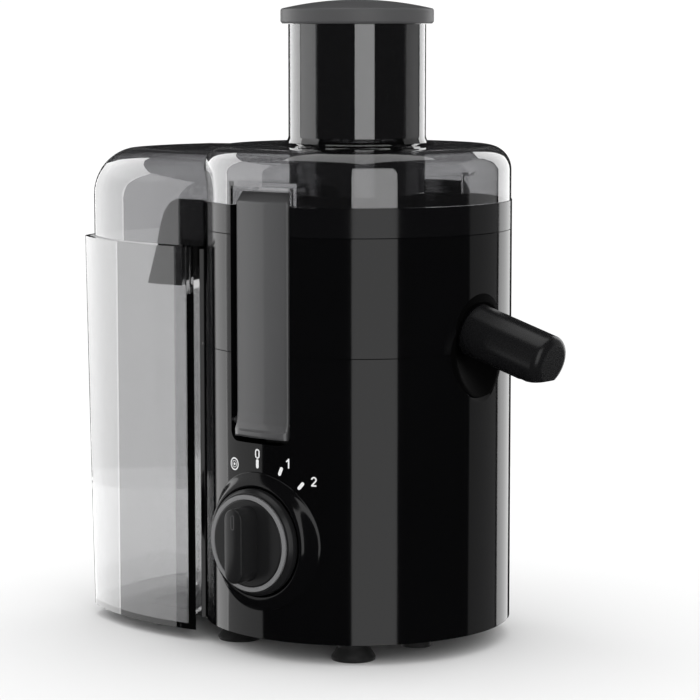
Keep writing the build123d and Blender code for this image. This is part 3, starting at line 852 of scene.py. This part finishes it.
class JUICER_OT_basket(bpy.types.Operator):
    """Finishes the sieve basket"""
    bl_idname = "juicer.basket"
    bl_label = "Sieve basket"

    def execute(self, context):
        steel = brushed_metal("basket_steel", (0.62, 0.61, 0.59), 0.22)
        dress("sieve_mesh", perforated_steel("basket_perforated", (0.62, 0.61, 0.6)))
        dress("grater_disc", steel)
        dress("sieve_rim", steel)
        dress("sieve_hub", satin_plastic("hub_cream", (0.42, 0.39, 0.33), 0.35))
        dress("drive_coupling", satin_plastic("coupling_black", (0.03, 0.03, 0.03)))
        return {"FINISHED"}


class JUICER_OT_motor(bpy.types.Operator):
    """Finishes the motor, its brackets and the switches"""
    bl_idname = "juicer.motor"
    bl_label = "Motor"

    def execute(self, context):
        ground = brushed_metal("ground_steel", (0.55, 0.55, 0.57), 0.2)
        copper = wound_wire("winding_copper", (0.55, 0.2, 0.07))
        turned = brushed_metal("commutator_copper", (0.75, 0.4, 0.2), 0.25)
        zinc = cast_metal("bracket_zinc", (0.5, 0.5, 0.52))
        core = laminations("lamination_steel", (0.2, 0.2, 0.22))
        black = satin_plastic("phenolic_black", (0.025, 0.025, 0.025), 0.5)
        white = satin_plastic("switch_white", (0.62, 0.61, 0.57), 0.4)
        soft = rubber("damper_rubber")
        finishes = {
            "motor_shaft": ground, "lower_bearing": ground, "upper_bearing": ground, "motor_bolts": ground,
            "brush_springs": ground, "armature_windings": copper, "field_windings": copper,
            "commutator": turned, "brush_holders": turned, "lower_bracket": zinc, "upper_bracket": zinc,
            "armature_core": core, "stator_core": core, "cooling_fan": black, "brush_carrier": black,
            "carbon_brushes": black, "speed_switch": white, "interlock_switch": white,
            "interlock_plunger": white, "motor_dampers": soft, "shaft_seal": soft,
        }
        for node, material in finishes.items():
            dress(node, material)
        return {"FINISHED"}


# ---------------------------------------------------------------------------
# Stage
# ---------------------------------------------------------------------------

FLOOR_R = 0.62
PANEL_HEIGHT = 2.2
# Upright panels: name, angle from the camera towards the spout side, distance, width, middle, radiance.
# Light that has gone through the clear parts meets only the strips.
PANELS = (
    ("strip_front", 12.5, 1.9, 1.12, 0.55, 1.15),
    ("strip_left", -92.5, 1.9, 1.34, 0.5, 0.62),
    ("wall_left", -130.5, 1.92, 1.38, 0.5, 1.75),
    ("strip_right", 107, 1.9, 1.2, 0.5, 0.22),
    ("wall_right", 142, 1.9, 0.98, 0.5, 1.65),
)
# World: colour and strength as seen directly, in mirrors, and by rays that the clear parts bend aside.
SKY_PLAIN = ((1, 1, 1, 1), 1.05)
SKY_MIRRORED = ((0.012, 0.012, 0.0125, 1), 1.0)
SKY_BENT = ((0.07, 0.07, 0.072, 1), 1.0)
BENT_FROM, BENT_TO = math.radians(10), math.radians(24)      # angles off the camera's direction


class JUICER_OT_stage(bpy.types.Operator):
    """Builds the floor, the soft lights and the camera"""
    bl_idname = "juicer.stage"
    bl_label = "Stage"

    def execute(self, context):
        studio = context.scene.juicer_studio
        towards = Vector((math.sin(studio.azimuth), -math.cos(studio.azimuth), 0))
        aside = Vector((math.cos(studio.azimuth), math.sin(studio.azimuth), 0))
        self.towards, self.aside = towards, aside
        self.camera(context, studio)
        self.floor()
        self.world(context)
        for panel in PANELS:
            self.panel(*panel)
        self.light("overhead", AXIS + Vector((0, 0, 1.9)), Vector((0, 0, -1)), 1.6, 1.6, 0.9)
        context.scene.view_settings.view_transform = "Standard"
        return {"FINISHED"}

    def camera(self, context, studio):
        """Camera in front of the drum, tilted slightly down."""
        lens = bpy.data.cameras.new("camera")
        lens.lens = studio.lens
        lens.sensor_width = 36
        lens.clip_start, lens.clip_end = 0.05, 50
        holder = bpy.data.objects.new("camera", lens)
        context.scene.collection.objects.link(holder)
        at = AXIS + self.towards * studio.distance + Vector((0, 0, studio.height))
        aim = AXIS - self.aside * studio.aside
        level = Vector((aim.x - at.x, aim.y - at.y, 0)).normalized()
        way = level * math.cos(studio.tilt) - Vector((0, 0, math.sin(studio.tilt)))
        holder.location = at
        holder.rotation_mode = "QUATERNION"
        holder.rotation_quaternion = way.to_track_quat("-Z", "Y")
        context.scene.camera = holder
        self.ahead = way

    def floor(self):
        """Small pale disc that mirrors don't see."""
        bm = bmesh.new()
        bmesh.ops.create_circle(bm, cap_ends=True, radius=FLOOR_R, segments=96)
        bm.transform(Matrix.Translation(AXIS))
        mesh = mesh_from(bm, "floor")
        f = Finish("floor_pale", IOR=1.3)
        tone = f.noise(3, 2)
        f.set("Base Color", f.blend(tone, (0.78, 0.78, 0.78), (0.80, 0.80, 0.80)))
        f.set("Roughness", 0.75 + 0.1 * tone)
        mesh.materials.append(f.material)
        floor = bpy.data.objects.new("floor", mesh)
        bpy.context.scene.collection.objects.link(floor)
        floor.visible_glossy = False

    def world(self, context):
        """White behind the juicer, dark for mirrored rays and for rays bent far aside."""
        world = bpy.data.worlds.new("studio")
        context.scene.world = world
        world.use_nodes = True
        tree = world.node_tree
        tree.nodes.clear()
        output = tree.nodes.new("ShaderNodeOutputWorld")
        plain, mirrored, bent = (self.sky(tree, *sky) for sky in (SKY_PLAIN, SKY_MIRRORED, SKY_BENT))
        path = tree.nodes.new("ShaderNodeLightPath")
        coordinates = tree.nodes.new("ShaderNodeTexCoord")
        ahead = tree.nodes.new("ShaderNodeVectorMath")
        ahead.operation = "DOT_PRODUCT"
        ahead.inputs[1].default_value = self.ahead
        tree.links.new(coordinates.outputs["Generated"], ahead.inputs[0])
        spread = tree.nodes.new("ShaderNodeMapRange")
        spread.interpolation_type = "SMOOTHSTEP"
        spread.inputs["From Min"].default_value = math.cos(BENT_TO)
        spread.inputs["From Max"].default_value = math.cos(BENT_FROM)
        tree.links.new(ahead.outputs["Value"], spread.inputs["Value"])
        through = self.mixed(tree, spread.outputs[0], bent, plain)
        by_glass = self.mixed(tree, path.outputs["Is Transmission Ray"], plain, through)
        # A rough ray through plastic counts as glossy too, so transmission is taken off.
        mirrors = tree.nodes.new("ShaderNodeMath")
        mirrors.operation = "SUBTRACT"
        mirrors.use_clamp = True
        tree.links.new(path.outputs["Is Glossy Ray"], mirrors.inputs[0])
        tree.links.new(path.outputs["Is Transmission Ray"], mirrors.inputs[1])
        final = self.mixed(tree, mirrors.outputs[0], by_glass, mirrored)
        tree.links.new(final, output.inputs["Surface"])

    @staticmethod
    def sky(tree, colour, strength):
        made = tree.nodes.new("ShaderNodeBackground")
        made.inputs["Color"].default_value = colour
        made.inputs["Strength"].default_value = strength
        return made.outputs[0]

    @staticmethod
    def mixed(tree, factor, first, second):
        made = tree.nodes.new("ShaderNodeMixShader")
        tree.links.new(factor, made.inputs[0])
        tree.links.new(first, made.inputs[1])
        tree.links.new(second, made.inputs[2])
        return made.outputs[0]

    def panel(self, name, angle, distance, width, middle, radiance):
        """Upright soft panel that faces the drum."""
        turn = math.radians(angle)
        way = self.towards * math.cos(turn) + self.aside * math.sin(turn)
        at = AXIS + way * distance + Vector((0, 0, middle))
        self.light(name, at, -way, width, PANEL_HEIGHT, radiance)

    @staticmethod
    def light(name, at, way, width, height, radiance):
        """Area light of a given radiance, hidden from the camera."""
        lamp = bpy.data.lights.new(name, "AREA")
        lamp.shape = "RECTANGLE"
        lamp.size, lamp.size_y = width, height
        lamp.energy = radiance * math.pi * width * height
        holder = bpy.data.objects.new(name, lamp)
        bpy.context.scene.collection.objects.link(holder)
        holder.location = at
        holder.rotation_mode = "QUATERNION"
        holder.rotation_quaternion = way.to_track_quat("-Z", "Y")
        holder.visible_camera = False
        holder.visible_transmission = name.startswith("strip")


class JUICER_PT_panel(bpy.types.Panel):
    """Lists the juicer's pieces in the sidebar"""
    bl_idname = "JUICER_PT_panel"
    bl_label = "Centrifugal juicer"
    bl_space_type = "VIEW_3D"
    bl_region_type = "UI"
    bl_category = "Juicer"

    def draw(self, context):
        for group in (context.scene.juicer_colours, context.scene.juicer_sizes, context.scene.juicer_studio):
            for key in group.__annotations__:
                self.layout.prop(group, key)
        for operator in OPERATORS:
            self.layout.operator(operator.bl_idname)


OPERATORS = (JUICER_OT_covers, JUICER_OT_clear_parts, JUICER_OT_clamps, JUICER_OT_knob, JUICER_OT_dial_marks,
             JUICER_OT_pusher_cap, JUICER_OT_spout, JUICER_OT_feet, JUICER_OT_basket, JUICER_OT_motor,
             JUICER_OT_stage)
CLASSES = (JuicerColours, JuicerSizes, JuicerStudio, *OPERATORS, JUICER_PT_panel)


def register():
    for cls in CLASSES:
        bpy.utils.register_class(cls)
    bpy.types.Scene.juicer_colours = PointerProperty(type=JuicerColours)
    bpy.types.Scene.juicer_sizes = PointerProperty(type=JuicerSizes)
    bpy.types.Scene.juicer_studio = PointerProperty(type=JuicerStudio)


def unregister():
    del bpy.types.Scene.juicer_studio
    del bpy.types.Scene.juicer_sizes
    del bpy.types.Scene.juicer_colours
    for cls in reversed(CLASSES):
        bpy.utils.unregister_class(cls)


def main():
    register()
    bpy.ops.juicer.covers()
    bpy.ops.juicer.clear_parts()
    bpy.ops.juicer.clamps()
    bpy.ops.juicer.knob()
    bpy.ops.juicer.dial_marks()
    bpy.ops.juicer.pusher_cap()
    bpy.ops.juicer.spout()
    bpy.ops.juicer.feet()
    bpy.ops.juicer.basket()
    bpy.ops.juicer.motor()
    bpy.ops.juicer.stage()


if __name__ == "__main__":
    main()
